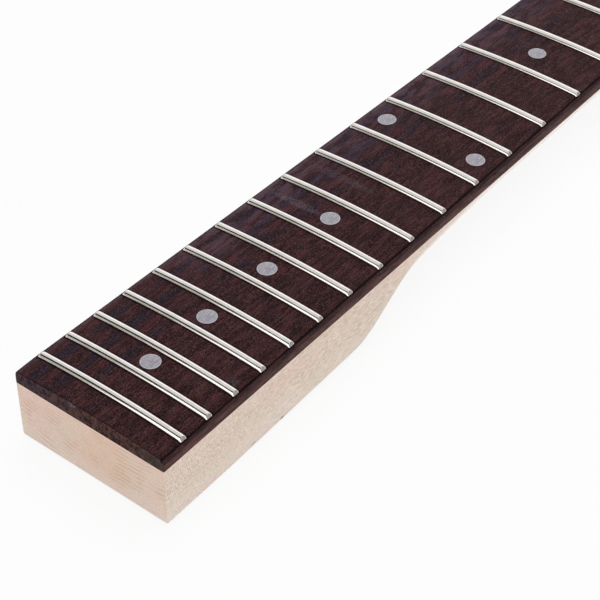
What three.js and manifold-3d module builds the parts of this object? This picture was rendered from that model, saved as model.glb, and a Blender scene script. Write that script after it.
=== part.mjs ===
// A bolt-on electric guitar neck: a maple neck with its headstock, a radiused rosewood fingerboard,
// pressed-in frets, inlaid markers, the string nut and a two-way truss rod with its adjusting nut.
// Millimetres. +X runs from the heel to the headstock, +Y to the bass side, +Z out of the fingerboard.
// The origin is the centre of the four screw holes, on the flat seat of the heel.

import * as THREE from "three";
import { mergeVertices } from "three/addons/utils/BufferGeometryUtils.js";
import Module from "manifold-3d";

// Playing layout
const SCALE_LENGTH = 648;
const FRET_COUNT = 22;
const FRETS_PER_OCTAVE = 12;
const STRING_COUNT = 6;
const LAST_FRET_TO_HEEL_END = 9.4;

// Widths and thicknesses
const HEEL_WIDTH = 56;
const NUT_END_WIDTH = 42;
const BOARD_THICKNESS = 5.4;
const BOARD_RADIUS = 350;
const HEEL_THICKNESS = 20.5;
const SHAFT_DEPTH_AT_HEEL = 22;
const SHAFT_DEPTH_AT_NUT = 20.2;
const HEADSTOCK_THICKNESS = 14.5;

// Heel: a flat seat with square sides that is carved out into the round back
const HEEL_SEAT_LENGTH = 86.5;
const DEPTH_RUNOUT = 43.5;
const BACK_RUNOUT = 43.5;
const SIDE_RUNOUT = 36;
const HEEL_END_EDGE = 0.3;
const SEAT_END_EDGE = 1.2;
const SIDE_LAND = 0.8;
const CORNER_RADIUS = 0.25;

// Fingerboard: its upper edges are rolled, the treble one further
const BASS_ROLL_WIDTH = 0.5;
const BASS_ROLL_DEPTH = 1;
const TREBLE_ROLL_WIDTH = 1.6;
const TREBLE_ROLL_DEPTH = 1.8;

// Screw pilot holes in the seat
const SCREW_PATTERN_LENGTH = 50.8;
const SCREW_PATTERN_WIDTH = 38.1;
const SCREW_PATTERN_TO_HEEL_END = 41;
const PILOT_DIAMETER = 3;
const PILOT_DEPTH = 14;

// Headstock: a plain blade with its six posts along the bass edge
const LEDGE_PAST_BOARD = 1.6;
const FACE_SCOOP_RADIUS = 14;
const HEAD_CARVE_BEFORE_NUT = 6;
const HEAD_CARVE_LENGTH = 44;
const HEAD_FLARE_LENGTH = 34;
const HEAD_EDGE = 1.5;
const BLANK_INTO_HEAD = 5;
const POST_DIAMETER = 10;
const POST_STEP = 24.6;
const FIRST_POST_TO_NUT = 42;
const POST_BESIDE_STRING = 3;
const POST_TO_BASS_EDGE = 13.5;
const TREBLE_SWELL = 9.5;
const TREBLE_SWELL_START = 16;
const TREBLE_SWELL_LENGTH = 116;
const TIP_PAST_LAST_POST = 7;
const TIP_ROUNDING = 20;
const TREBLE_CORNER_BEFORE_TIP = 20;

// Frets: a domed crown over a tang that is pressed into a blind slot
const CROWN_WIDTH = 2.7;
const CROWN_HEIGHT = 1.15;
const FRET_SEAT_GAP = 0.03;
const FRET_END_INSET = 0.75;
const FRET_END_BEVEL_DEG = 32;
const TANG_WIDTH = 0.5;
const TANG_DEPTH = 1.6;
const TANG_INTO_CROWN = 0.3;
const TANG_SETBACK = 1.6;
const SLOT_CLEARANCE = 0.05;
const SLOT_SPARE_DEPTH = 0.3;

// String nut and its slot
const NUT_THICKNESS = 3.2;
const NUT_FLOOR = 2.6;
const NUT_RISE = 2.3;
const NUT_BACK_DROP = 0.7;
const NUT_CREST = 1.1;
const NUT_CLEARANCE = 0.03;
const BOARD_PAST_NUT = 4.5;
const OUTER_STRING_TO_EDGE = 3.5;
const GROOVE_DEPTH = 0.9;
const BASS_GROOVE_WIDTH = 1.3;
const TREBLE_GROOVE_WIDTH = 0.5;

// Markers
const MARKER_DIAMETER = 6.2;
const MARKER_THICKNESS = 2;
const DOUBLE_MARKER_SPACING = 35.3;
const SIDE_MARKER_DIAMETER = 2.2;
const SIDE_MARKER_LENGTH = 3;
const SIDE_MARKER_HEIGHT = 2.2;
const MARKER_CLEARANCE = 0.05;
const MARKER_FRETS = [3, 5, 7, 9, 12, 15, 17, 19, 21];

// Truss rod: a threaded rod under a flat bar, held by a block at each end
const ROD_DIAMETER = 5;
const ROD_FIT = 0.2;
const BAR_WIDTH = 6;
const BAR_THICKNESS = 3;
const BLOCK_LENGTH = 12;
const BLOCK_HEIGHT = 6;
const BLOCK_LIP = 3;
const BAR_END_GAP = 0.3;
const CHANNEL_SIDE_GAP = 0.2;
const CHANNEL_TOP_GAP = 0.3;
const CHANNEL_TO_HEEL_END = 16;
const ADJUSTER_DIAMETER = 8;
const ADJUSTER_LENGTH = 12;
const ADJUSTER_PAST_NUT = 8.3;
const ADJUSTER_GAP = 0.3;
const HEX_ACROSS_FLATS = 4;
const HEX_DEPTH = 7;
const ACCESS_GAP = 0.6;
const ACCESS_PAST_NUT = 46;

// One overrun serves every cut that has to break through a face
const OVERRUN = 1;

// How finely the curved faces are stepped
const RADIUS_STEPS = 8;
const ROLL_STEPS = 3;
const CORNER_STEPS = 2;
const CROWN_STEPS = 7;
const BACK_STEPS = 8;
const RUNOUT_STEPS = 14;
const SHAFT_STEPS = 3;
const SCOOP_STEPS = 6;
const HEAD_CARVE_STEPS = 12;
const OUTLINE_STEPS = 10;
const HEAD_EDGE_STEPS = 2;
const GROOVE_STEPS = 4;
const HOLE_SIDES = 16;
const MARKER_SIDES = 20;
const SMALL_SIDES = 12;
const HEX_SIDES = 6;

// Worked out places along the neck
const HEEL_END_X = -SCREW_PATTERN_TO_HEEL_END;
const fretDistance = (n) => SCALE_LENGTH * (1 - 2 ** (-n / FRETS_PER_OCTAVE));
const fretX = (n) => HEEL_END_X + LAST_FRET_TO_HEEL_END + fretDistance(FRET_COUNT) - fretDistance(n);
const NUT_X = fretX(0);
const BOARD_END_X = NUT_X + NUT_THICKNESS + BOARD_PAST_NUT;
const SEAT_END_X = HEEL_END_X + HEEL_SEAT_LENGTH;
const LEDGE_END_X = BOARD_END_X + LEDGE_PAST_BOARD;
const HEAD_CARVE_X = NUT_X - HEAD_CARVE_BEFORE_NUT;
const HEAD_CARVE_END_X = HEAD_CARVE_X + HEAD_CARVE_LENGTH;

// Worked out heights
const CROWN_Z = HEEL_THICKNESS + BOARD_THICKNESS;
const BAR_TOP_Z = HEEL_THICKNESS - CHANNEL_TOP_GAP;
const BLOCK_TOP_Z = BAR_TOP_Z - BAR_THICKNESS;
const ROD_Z = BLOCK_TOP_Z - BLOCK_HEIGHT / 2;
const CHANNEL_FLOOR_Z = BLOCK_TOP_Z - BLOCK_HEIGHT;

const { smoothstep, lerp, clamp, degToRad } = THREE.MathUtils;
const ramp = (x, start, length) => smoothstep(x, start, start + length);
const steps = (count) => Array.from({ length: count + 1 }, (_, i) => i / count);
const between = (start, end, count) => steps(count).map((share) => lerp(start, end, share));
const sag = (y) => BOARD_RADIUS - Math.sqrt(BOARD_RADIUS ** 2 - y ** 2);

// The fingerboard's sides taper in a straight line from the heel end to the nut
const SIDE_TAPER = (HEEL_WIDTH - NUT_END_WIDTH) / 2 / (NUT_X - HEEL_END_X);

function boardHalfWidth(x) {
  const intoCorner = clamp(CORNER_RADIUS - (x - HEEL_END_X), 0, CORNER_RADIUS);
  const cornerInset = CORNER_RADIUS - Math.sqrt(CORNER_RADIUS ** 2 - intoCorner ** 2);
  return HEEL_WIDTH / 2 - SIDE_TAPER * (x - HEEL_END_X) - cornerInset;
}

// Solids
const wasm = await Module();
wasm.setup();

function toSolid(geometry) {
  const bare = geometry.clone();
  bare.deleteAttribute("normal");
  bare.deleteAttribute("uv");
  const merged = mergeVertices(bare);
  const mesh = new wasm.Mesh({
    numProp: merged.attributes.position.itemSize,
    vertProperties: merged.attributes.position.array,
    triVerts: new Uint32Array(merged.index.array),
  });
  return new wasm.Manifold(mesh);
}

function addMesh(group, name, solid, material) {
  const { numProp, vertProperties, triVerts } = solid.getMesh();
  const geometry = new THREE.BufferGeometry();
  geometry.setAttribute("position", new THREE.BufferAttribute(vertProperties, numProp));
  geometry.setIndex(new THREE.BufferAttribute(triVerts, 1));
  geometry.computeVertexNormals();
  const mesh = new THREE.Mesh(geometry, material);
  mesh.name = name;
  group.add(mesh);
  return mesh;
}

// A closed solid through rings of equal point count, which follow each other along +X or +Y.
function loft(rings, axis) {
  const flatten = axis === "x" ? (p) => new THREE.Vector2(p.y, p.z) : (p) => new THREE.Vector2(p.z, p.x);
  const clockwise = THREE.ShapeUtils.isClockWise(rings[0].map(flatten));
  const turned = clockwise ? rings.map((ring) => [...ring].reverse()) : rings;
  const count = turned[0].length;
  const index = [];
  for (let first = 0; first < count * (turned.length - 1); first += count) {
    for (let i = 0; i < count; i += 1) {
      const a = first + i;
      const b = first + ((i + 1) % count);
      index.push(a, b, b + count, a, b + count, a + count);
    }
  }
  const last = count * (turned.length - 1);
  for (const [a, b, c] of THREE.ShapeUtils.triangulateShape(turned[0].map(flatten), [])) {
    index.push(a, c, b);
  }
  for (const [a, b, c] of THREE.ShapeUtils.triangulateShape(turned.at(-1).map(flatten), [])) {
    index.push(last + a, last + b, last + c);
  }
  const geometry = new THREE.BufferGeometry().setFromPoints(turned.flat());
  geometry.setIndex(index);
  return toSolid(geometry);
}

function box(low, high) {
  const size = new THREE.Vector3().subVectors(high, low);
  const middle = new THREE.Vector3().addVectors(low, high).multiplyScalar(1 / 2);
  const geometry = new THREE.BoxGeometry(size.x, size.y, size.z);
  return toSolid(geometry.translate(middle.x, middle.y, middle.z));
}

// Round bars and holes, along X or along Z, from one place on that axis to another.
function barAlongX(radius, start, end, sides) {
  const geometry = new THREE.CylinderGeometry(radius, radius, end - start, sides);
  return toSolid(geometry.rotateZ(Math.PI / 2).translate((start + end) / 2, 0, 0));
}

function barAlongZ(radius, low, high, sides) {
  const geometry = new THREE.CylinderGeometry(radius, radius, high - low, sides);
  return toSolid(geometry.rotateX(Math.PI / 2).translate(0, 0, (low + high) / 2));
}

// Headstock outline: the bass edge runs beside the posts, and the treble edge swells gently.
const stringSpacing = (NUT_END_WIDTH - 2 * OUTER_STRING_TO_EDGE) / (STRING_COUNT - 1);
const stringY = (i) => ((STRING_COUNT - 1) / 2 - i) * stringSpacing;
const postPlaces = Array.from({ length: STRING_COUNT }, (_, i) => ({
  x: NUT_X + FIRST_POST_TO_NUT + i * POST_STEP,
  y: stringY(i) + POST_BESIDE_STRING,
}));
const POST_LINE_SLOPE = -stringSpacing / POST_STEP;
const EDGE_OFFSET_Y = POST_TO_BASS_EDGE * Math.hypot(1, POST_LINE_SLOPE);
const TIP_X = postPlaces.at(-1).x + TIP_PAST_LAST_POST;

function bassEdge(x) {
  const beside = postPlaces[0].y + POST_LINE_SLOPE * (x - postPlaces[0].x) + EDGE_OFFSET_Y;
  return lerp(boardHalfWidth(x), beside, ramp(x, BOARD_END_X, HEAD_FLARE_LENGTH));
}

function trebleEdge(x) {
  const narrow = boardHalfWidth(Math.min(x, BOARD_END_X));
  return -(narrow + TREBLE_SWELL * ramp(x, NUT_X + TREBLE_SWELL_START, TREBLE_SWELL_LENGTH));
}

function headstockPlate() {
  const bass = between(HEAD_CARVE_END_X, TIP_X, OUTLINE_STEPS);
  const treble = between(TIP_X - TREBLE_CORNER_BEFORE_TIP, HEAD_CARVE_END_X, OUTLINE_STEPS);
  const outline = new THREE.Shape();
  outline.moveTo(bass[0], bassEdge(bass[0]));
  bass.slice(1).forEach((x) => outline.lineTo(x, bassEdge(x)));
  outline.bezierCurveTo(
    TIP_X + TIP_ROUNDING * Math.cos(Math.atan(POST_LINE_SLOPE)),
    bassEdge(TIP_X) + TIP_ROUNDING * Math.sin(Math.atan(POST_LINE_SLOPE)),
    TIP_X + TIP_ROUNDING,
    trebleEdge(TIP_X),
    treble[0],
    trebleEdge(treble[0]),
  );
  treble.slice(1).forEach((x) => outline.lineTo(x, trebleEdge(x)));
  const geometry = new THREE.ExtrudeGeometry(outline, {
    depth: HEADSTOCK_THICKNESS - 2 * HEAD_EDGE,
    bevelThickness: HEAD_EDGE,
    bevelSize: HEAD_EDGE,
    bevelOffset: -HEAD_EDGE,
    bevelSegments: HEAD_EDGE_STEPS,
    curveSegments: OUTLINE_STEPS,
  });
  return toSolid(geometry.translate(0, 0, HEAD_EDGE));
}

// Neck: one lofted blank from the square heel through the round shaft to the headstock
const SCOOP_DROP = HEEL_THICKNESS - HEADSTOCK_THICKNESS;
const SCOOP_LENGTH = Math.sqrt(FACE_SCOOP_RADIUS ** 2 - (FACE_SCOOP_RADIUS - SCOOP_DROP) ** 2);

function neckTop(x) {
  const toScoopEnd = clamp(LEDGE_END_X + SCOOP_LENGTH - x, 0, SCOOP_LENGTH);
  return HEADSTOCK_THICKNESS + FACE_SCOOP_RADIUS - Math.sqrt(FACE_SCOOP_RADIUS ** 2 - toScoopEnd ** 2);
}

function neckBack(x) {
  const along = (x - SEAT_END_X - DEPTH_RUNOUT) / (NUT_X - SEAT_END_X - DEPTH_RUNOUT);
  const shaftBack = CROWN_Z - lerp(SHAFT_DEPTH_AT_HEEL, SHAFT_DEPTH_AT_NUT, along);
  return shaftBack * ramp(x, SEAT_END_X, DEPTH_RUNOUT) * (1 - ramp(x, HEAD_CARVE_X, HEAD_CARVE_LENGTH));
}

function neckRing(x) {
  const top = neckTop(x);
  const back = neckBack(x);
  const toHead = ramp(x, HEAD_CARVE_X, HEAD_CARVE_LENGTH);
  const alongSeat = clamp((x - HEEL_END_X) / HEEL_SEAT_LENGTH, 0, 1);
  const edge = lerp(lerp(HEEL_END_EDGE, SEAT_END_EDGE, alongSeat), HEAD_EDGE, toHead);
  const acrossShare = ramp(x, SEAT_END_X, BACK_RUNOUT) * (1 - toHead);
  const upShare = ramp(x, SEAT_END_X, SIDE_RUNOUT) * (1 - toHead);
  const up = lerp(edge, top - back - SIDE_LAND, upShare);
  const corner = (side, halfWidth) => {
    const across = lerp(edge, halfWidth, acrossShare);
    const arc = steps(BACK_STEPS).map((share) => {
      const angle = (share * Math.PI) / 2;
      const y = halfWidth - across + across * Math.cos(angle);
      return new THREE.Vector3(x, side * y, back + up - up * Math.sin(angle));
    });
    return [new THREE.Vector3(x, side * halfWidth, top), ...arc];
  };
  const bassSide = corner(1, x < BOARD_END_X ? boardHalfWidth(x) : bassEdge(x));
  const trebleSide = corner(-1, x < BOARD_END_X ? boardHalfWidth(x) : -trebleEdge(x));
  return [...bassSide, ...trebleSide.reverse()];
}

function neckBlank() {
  const runoutEnd = SEAT_END_X + Math.max(DEPTH_RUNOUT, BACK_RUNOUT, SIDE_RUNOUT);
  const places = [
    ...between(HEEL_END_X, HEEL_END_X + CORNER_RADIUS, CORNER_STEPS),
    ...between(SEAT_END_X, runoutEnd, RUNOUT_STEPS),
    ...between(runoutEnd, HEAD_CARVE_X, SHAFT_STEPS),
    ...between(HEAD_CARVE_X, HEAD_CARVE_END_X, HEAD_CARVE_STEPS),
    ...between(LEDGE_END_X, LEDGE_END_X + SCOOP_LENGTH, SCOOP_STEPS),
    HEAD_CARVE_END_X + BLANK_INTO_HEAD,
  ];
  const sorted = [...new Set(places)].sort((a, b) => a - b);
  return loft(sorted.map(neckRing), "x").add(headstockPlate());
}

function trussRodChannel() {
  const halfChannel = BAR_WIDTH / 2 + CHANNEL_SIDE_GAP;
  const halfAccess = ADJUSTER_DIAMETER / 2 + ACCESS_GAP;
  const top = HEEL_THICKNESS + OVERRUN;
  const accessStart = NUT_X + ADJUSTER_PAST_NUT - ADJUSTER_LENGTH - ADJUSTER_GAP;
  const accessEnd = NUT_X + ACCESS_PAST_NUT - halfAccess;
  const accessFloor = ROD_Z - halfAccess;
  const channel = box(
    new THREE.Vector3(HEEL_END_X + CHANNEL_TO_HEEL_END, -halfChannel, CHANNEL_FLOOR_Z),
    new THREE.Vector3(accessStart, halfChannel, top),
  );
  const access = box(
    new THREE.Vector3(accessStart, -halfAccess, accessFloor),
    new THREE.Vector3(accessEnd, halfAccess, top),
  );
  const roundEnd = barAlongZ(halfAccess, accessFloor, top, HOLE_SIDES).translate([accessEnd, 0, 0]);
  return channel.add(access).add(roundEnd);
}

function makeNeck() {
  let neck = neckBlank().subtract(trussRodChannel());
  for (const { x, y } of postPlaces) {
    const hole = barAlongZ(POST_DIAMETER / 2, -OVERRUN, HEADSTOCK_THICKNESS + OVERRUN, HOLE_SIDES);
    neck = neck.subtract(hole.translate([x, y, 0]));
  }
  for (const x of [-SCREW_PATTERN_LENGTH / 2, SCREW_PATTERN_LENGTH / 2]) {
    for (const y of [-SCREW_PATTERN_WIDTH / 2, SCREW_PATTERN_WIDTH / 2]) {
      const hole = barAlongZ(PILOT_DIAMETER / 2, -OVERRUN, PILOT_DEPTH, SMALL_SIDES);
      neck = neck.subtract(hole.translate([x, y, 0]));
    }
  }
  return neck;
}

// Frets, built around the crown of the fingerboard at their own place along the neck
function crownArcAlongY(outline, reach, lift) {
  return between(-1, 1, RADIUS_STEPS).map((share) =>
    outline.map(([x, z]) => {
      const y = share * reach(z);
      return new THREE.Vector3(x, y, z + lift - sag(y));
    }),
  );
}

function makeFret(halfWidth) {
  const bevel = Math.tan(degToRad(FRET_END_BEVEL_DEG));
  const dome = steps(CROWN_STEPS).map((share) => [
    -(CROWN_WIDTH / 2) * Math.cos(share * Math.PI),
    CROWN_HEIGHT * Math.sin(share * Math.PI),
  ]);
  const crownReach = (z) => halfWidth - FRET_END_INSET - z * bevel;
  const crown = loft(crownArcAlongY(dome, crownReach, FRET_SEAT_GAP), "y");
  const tangOutline = [
    [-TANG_WIDTH / 2, -TANG_DEPTH],
    [TANG_WIDTH / 2, -TANG_DEPTH],
    [TANG_WIDTH / 2, TANG_INTO_CROWN],
    [-TANG_WIDTH / 2, TANG_INTO_CROWN],
  ];
  const tang = loft(crownArcAlongY(tangOutline, () => halfWidth - TANG_SETBACK, FRET_SEAT_GAP), "y");
  return crown.add(tang);
}

function fretSlot(halfWidth) {
  const halfSlot = TANG_WIDTH / 2 + SLOT_CLEARANCE;
  const floor = -TANG_DEPTH - SLOT_SPARE_DEPTH;
  const outline = [
    [-halfSlot, floor],
    [halfSlot, floor],
    [halfSlot, OVERRUN],
    [-halfSlot, OVERRUN],
  ];
  return loft(crownArcAlongY(outline, () => halfWidth - TANG_SETBACK + SLOT_CLEARANCE, 0), "y");
}

// Markers: each stands on its own axis, with its visible face at the origin
const markerPlaces = MARKER_FRETS.flatMap((fret) => {
  const x = (fretX(fret) + fretX(fret - 1)) / 2;
  const name = String(fret).padStart(2, "0");
  if (fret % FRETS_PER_OCTAVE) {
    return [{ name, x, y: 0 }];
  }
  return [
    { name: `${name}_bass`, x, y: DOUBLE_MARKER_SPACING / 2 },
    { name: `${name}_treble`, x, y: -DOUBLE_MARKER_SPACING / 2 },
  ];
});
const sideMarkerPlaces = MARKER_FRETS.flatMap((fret) => {
  const x = (fretX(fret) + fretX(fret - 1)) / 2;
  const name = String(fret).padStart(2, "0");
  if (fret % FRETS_PER_OCTAVE) {
    return [{ name, x }];
  }
  return [
    { name: `${name}_a`, x: x - SIDE_MARKER_DIAMETER },
    { name: `${name}_b`, x: x + SIDE_MARKER_DIAMETER },
  ];
});

const inlay = (clearance, overrun) =>
  barAlongZ(MARKER_DIAMETER / 2 + clearance, -MARKER_THICKNESS - clearance, overrun, MARKER_SIDES);

function sideInlay(clearance, overrun) {
  const radius = SIDE_MARKER_DIAMETER / 2 + clearance;
  const length = SIDE_MARKER_LENGTH + clearance + overrun;
  const geometry = new THREE.CylinderGeometry(radius, radius, length, SMALL_SIDES);
  return toSolid(geometry.translate(0, overrun - length / 2, 0));
}

function placeMarker(object, { x, y }) {
  object.position.set(x, y, BOARD_THICKNESS - sag(y));
  object.rotation.x = -Math.asin(y / BOARD_RADIUS);
}

function placeSideMarker(object, { x }) {
  object.position.set(x, boardHalfWidth(x), SIDE_MARKER_HEIGHT);
  object.rotation.z = -Math.atan(SIDE_TAPER);
}

// A cutter, turned and moved as the marker that goes in its place.
function cutterAt(solid, place, where) {
  const frame = new THREE.Object3D();
  place(frame, where);
  frame.updateMatrix();
  return solid.transform(frame.matrix.toArray());
}

// Fingerboard, with its underside at height 0
function boardRing(x) {
  const halfWidth = boardHalfWidth(x);
  const rolledEdge = (side, width, depth) =>
    steps(ROLL_STEPS).map((share) => {
      const angle = (share * Math.PI) / 2;
      const y = halfWidth - width + width * Math.cos(angle);
      const top = BOARD_THICKNESS - sag(halfWidth - width);
      return new THREE.Vector3(x, side * y, top - depth + depth * Math.sin(angle));
    });
  const bass = rolledEdge(1, BASS_ROLL_WIDTH, BASS_ROLL_DEPTH);
  const treble = rolledEdge(-1, TREBLE_ROLL_WIDTH, TREBLE_ROLL_DEPTH);
  const arc = between(halfWidth - BASS_ROLL_WIDTH, TREBLE_ROLL_WIDTH - halfWidth, RADIUS_STEPS);
  return [
    new THREE.Vector3(x, -halfWidth, 0),
    new THREE.Vector3(x, halfWidth, 0),
    ...bass,
    ...arc.slice(1, -1).map((y) => new THREE.Vector3(x, y, BOARD_THICKNESS - sag(y))),
    ...treble.reverse(),
  ];
}

function makeFingerboard() {
  const places = [...between(HEEL_END_X, HEEL_END_X + CORNER_RADIUS, CORNER_STEPS), BOARD_END_X];
  let board = loft(places.map(boardRing), "x");
  for (let n = 1; n <= FRET_COUNT; n += 1) {
    const slot = fretSlot(boardHalfWidth(fretX(n)));
    board = board.subtract(slot.translate([fretX(n), 0, BOARD_THICKNESS]));
  }
  const nutSlot = box(
    new THREE.Vector3(NUT_X - NUT_CLEARANCE, -NUT_END_WIDTH, NUT_FLOOR),
    new THREE.Vector3(NUT_X + NUT_THICKNESS + NUT_CLEARANCE, NUT_END_WIDTH, BOARD_THICKNESS + OVERRUN),
  );
  board = board.subtract(nutSlot);
  for (const where of markerPlaces) {
    board = board.subtract(cutterAt(inlay(MARKER_CLEARANCE, OVERRUN), placeMarker, where));
  }
  for (const where of sideMarkerPlaces) {
    board = board.subtract(cutterAt(sideInlay(MARKER_CLEARANCE, OVERRUN), placeSideMarker, where));
  }
  return board;
}

// String nut, with its front face at x = 0 and its foot at height 0
function makeStringNut() {
  const halfLength = boardHalfWidth(NUT_X + NUT_THICKNESS) - NUT_CLEARANCE;
  const frontTop = (y) => BOARD_THICKNESS - NUT_FLOOR + NUT_RISE - sag(y);
  const rings = between(-halfLength, halfLength, RADIUS_STEPS).map((y) => [
    new THREE.Vector3(0, y, 0),
    new THREE.Vector3(NUT_THICKNESS, y, 0),
    new THREE.Vector3(NUT_THICKNESS, y, frontTop(y) - NUT_BACK_DROP),
    new THREE.Vector3(NUT_CREST, y, frontTop(y)),
    new THREE.Vector3(0, y, frontTop(y)),
  ]);
  let nut = loft(rings, "y");
  const lengthwise = new THREE.Matrix4().makeBasis(
    new THREE.Vector3(0, 1, 0),
    new THREE.Vector3(0, 0, 1),
    new THREE.Vector3(1, 0, 0),
  );
  for (let i = 0; i < STRING_COUNT; i += 1) {
    const radius = lerp(BASS_GROOVE_WIDTH, TREBLE_GROOVE_WIDTH, i / (STRING_COUNT - 1)) / 2;
    const shape = new THREE.Shape();
    shape.moveTo(radius, GROOVE_DEPTH + OVERRUN);
    shape.lineTo(-radius, GROOVE_DEPTH + OVERRUN);
    shape.absarc(0, radius, radius, Math.PI, 2 * Math.PI, false);
    const groove = new THREE.ExtrudeGeometry(shape, {
      depth: NUT_THICKNESS + 2 * OVERRUN,
      bevelEnabled: false,
      curveSegments: GROOVE_STEPS,
    });
    groove.applyMatrix4(lengthwise);
    groove.translate(-OVERRUN, stringY(i), frontTop(stringY(i)) - GROOVE_DEPTH);
    nut = nut.subtract(toSolid(groove));
  }
  return nut;
}

// Truss rod, on its own axis
const ROD_START_X = HEEL_END_X + CHANNEL_TO_HEEL_END;
const ADJUSTER_END_X = NUT_X + ADJUSTER_PAST_NUT;
const ADJUSTER_START_X = ADJUSTER_END_X - ADJUSTER_LENGTH;
const HEAD_BLOCK_END_X = ADJUSTER_START_X - ADJUSTER_GAP;

function makeBlock() {
  const foot = box(
    new THREE.Vector3(0, -BAR_WIDTH / 2, -BLOCK_HEIGHT / 2),
    new THREE.Vector3(BLOCK_LENGTH, BAR_WIDTH / 2, BLOCK_HEIGHT / 2),
  );
  const lip = box(
    new THREE.Vector3(0, -BAR_WIDTH / 2, 0),
    new THREE.Vector3(BLOCK_LIP, BAR_WIDTH / 2, BLOCK_HEIGHT / 2 + BAR_THICKNESS),
  );
  const bore = barAlongX(ROD_DIAMETER / 2 + ROD_FIT, -OVERRUN, BLOCK_LENGTH + OVERRUN, SMALL_SIDES);
  return foot.add(lip).subtract(bore);
}

function makeBar() {
  const low = ROD_START_X + BLOCK_LIP + BAR_END_GAP;
  const high = HEAD_BLOCK_END_X - BLOCK_LIP - BAR_END_GAP;
  return box(
    new THREE.Vector3(low, -BAR_WIDTH / 2, BLOCK_HEIGHT / 2),
    new THREE.Vector3(high, BAR_WIDTH / 2, BLOCK_HEIGHT / 2 + BAR_THICKNESS),
  );
}

function makeAdjustingNut() {
  const barrel = barAlongX(ADJUSTER_DIAMETER / 2, 0, ADJUSTER_LENGTH, HOLE_SIDES);
  const hexRadius = HEX_ACROSS_FLATS / 2 / Math.cos(Math.PI / HEX_SIDES);
  return barrel.subtract(
    barAlongX(hexRadius, ADJUSTER_LENGTH - HEX_DEPTH, ADJUSTER_LENGTH + OVERRUN, HEX_SIDES),
  );
}

// Materials
const finish = (color, roughness, metalness) =>
  new THREE.MeshStandardMaterial({ color, roughness, metalness });
const maple = finish("#dcc7b4", 0.7, 0);
const rosewood = finish("#452e2f", 0.55, 0);
const nickel = finish("#d6d6cd", 0.25, 1);
const pearl = finish("#a9a7b0", 0.3, 0);
const bone = finish("#e8e2d2", 0.4, 0);
const steel = finish("#8d8f92", 0.4, 1);
const brass = finish("#b8963f", 0.35, 1);

// Assembly
const guitarNeck = new THREE.Group();
addMesh(guitarNeck, "neck", makeNeck(), maple);

const playingSurface = new THREE.Group();
playingSurface.position.z = HEEL_THICKNESS;
guitarNeck.add(playingSurface);
addMesh(playingSurface, "fingerboard", makeFingerboard(), rosewood);

for (let n = 1; n <= FRET_COUNT; n += 1) {
  const name = `fret_${String(n).padStart(2, "0")}`;
  const fret = addMesh(playingSurface, name, makeFret(boardHalfWidth(fretX(n))), nickel);
  fret.position.set(fretX(n), 0, BOARD_THICKNESS);
}
for (const where of markerPlaces) {
  placeMarker(addMesh(playingSurface, `marker_${where.name}`, inlay(0, 0), pearl), where);
}
for (const where of sideMarkerPlaces) {
  placeSideMarker(addMesh(playingSurface, `side_marker_${where.name}`, sideInlay(0, 0), pearl), where);
}
addMesh(playingSurface, "string_nut", makeStringNut(), bone).position.set(NUT_X, 0, NUT_FLOOR);

const trussRod = new THREE.Group();
trussRod.position.z = ROD_Z;
guitarNeck.add(trussRod);
addMesh(trussRod, "truss_bar", makeBar(), steel);
addMesh(trussRod, "heel_block", makeBlock(), brass).position.x = ROD_START_X;
const headBlock = addMesh(trussRod, "head_block", makeBlock(), brass);
headBlock.position.x = HEAD_BLOCK_END_X;
headBlock.rotation.z = Math.PI;
const rod = barAlongX(ROD_DIAMETER / 2, ROD_START_X + BLOCK_LIP, ADJUSTER_START_X, SMALL_SIDES);
addMesh(trussRod, "truss_rod", rod, steel);
addMesh(trussRod, "adjusting_nut", makeAdjustingNut(), steel).position.x = ADJUSTER_START_X;

export default guitarNeck;
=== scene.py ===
"""A bolt-on electric guitar neck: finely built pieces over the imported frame, procedural materials and
a plain pale studio. Shapes are worked out in millimetres, with the formulas of the CAD source, and
made in metres. +X runs from the heel to the headstock, +Y to the bass side, +Z out of the fingerboard."""

import math

import bmesh
import bpy
from mathutils import Matrix, Vector


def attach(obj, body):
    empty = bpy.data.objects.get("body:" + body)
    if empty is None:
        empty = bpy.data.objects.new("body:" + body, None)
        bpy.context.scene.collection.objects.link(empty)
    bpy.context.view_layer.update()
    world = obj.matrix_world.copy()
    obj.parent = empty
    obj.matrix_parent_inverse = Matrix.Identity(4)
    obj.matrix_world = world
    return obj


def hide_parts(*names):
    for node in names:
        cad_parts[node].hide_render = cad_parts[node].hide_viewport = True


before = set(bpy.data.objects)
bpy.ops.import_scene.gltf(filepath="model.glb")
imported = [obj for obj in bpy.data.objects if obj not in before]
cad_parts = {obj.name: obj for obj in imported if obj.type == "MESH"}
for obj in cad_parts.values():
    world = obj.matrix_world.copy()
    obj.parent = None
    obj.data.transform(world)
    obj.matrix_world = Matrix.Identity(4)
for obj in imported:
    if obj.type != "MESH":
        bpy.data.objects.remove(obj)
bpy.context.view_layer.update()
MM = 0.001

# Playing layout, widths and thicknesses
SCALE_LENGTH = 648
FRET_COUNT = 22
FRETS_PER_OCTAVE = 12
STRING_COUNT = 6
HEEL_END_X = -41
LAST_FRET_TO_HEEL_END = 9.4
HEEL_WIDTH = 56
NUT_END_WIDTH = 42
BOARD_THICKNESS = 5.4
BOARD_RADIUS = 350
HEEL_THICKNESS = 20.5
HEADSTOCK_THICKNESS = 14.5
CROWN_Z = HEEL_THICKNESS + BOARD_THICKNESS
SHAFT_DEPTH_AT_HEEL = 22
SHAFT_DEPTH_AT_NUT = 20.2

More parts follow.
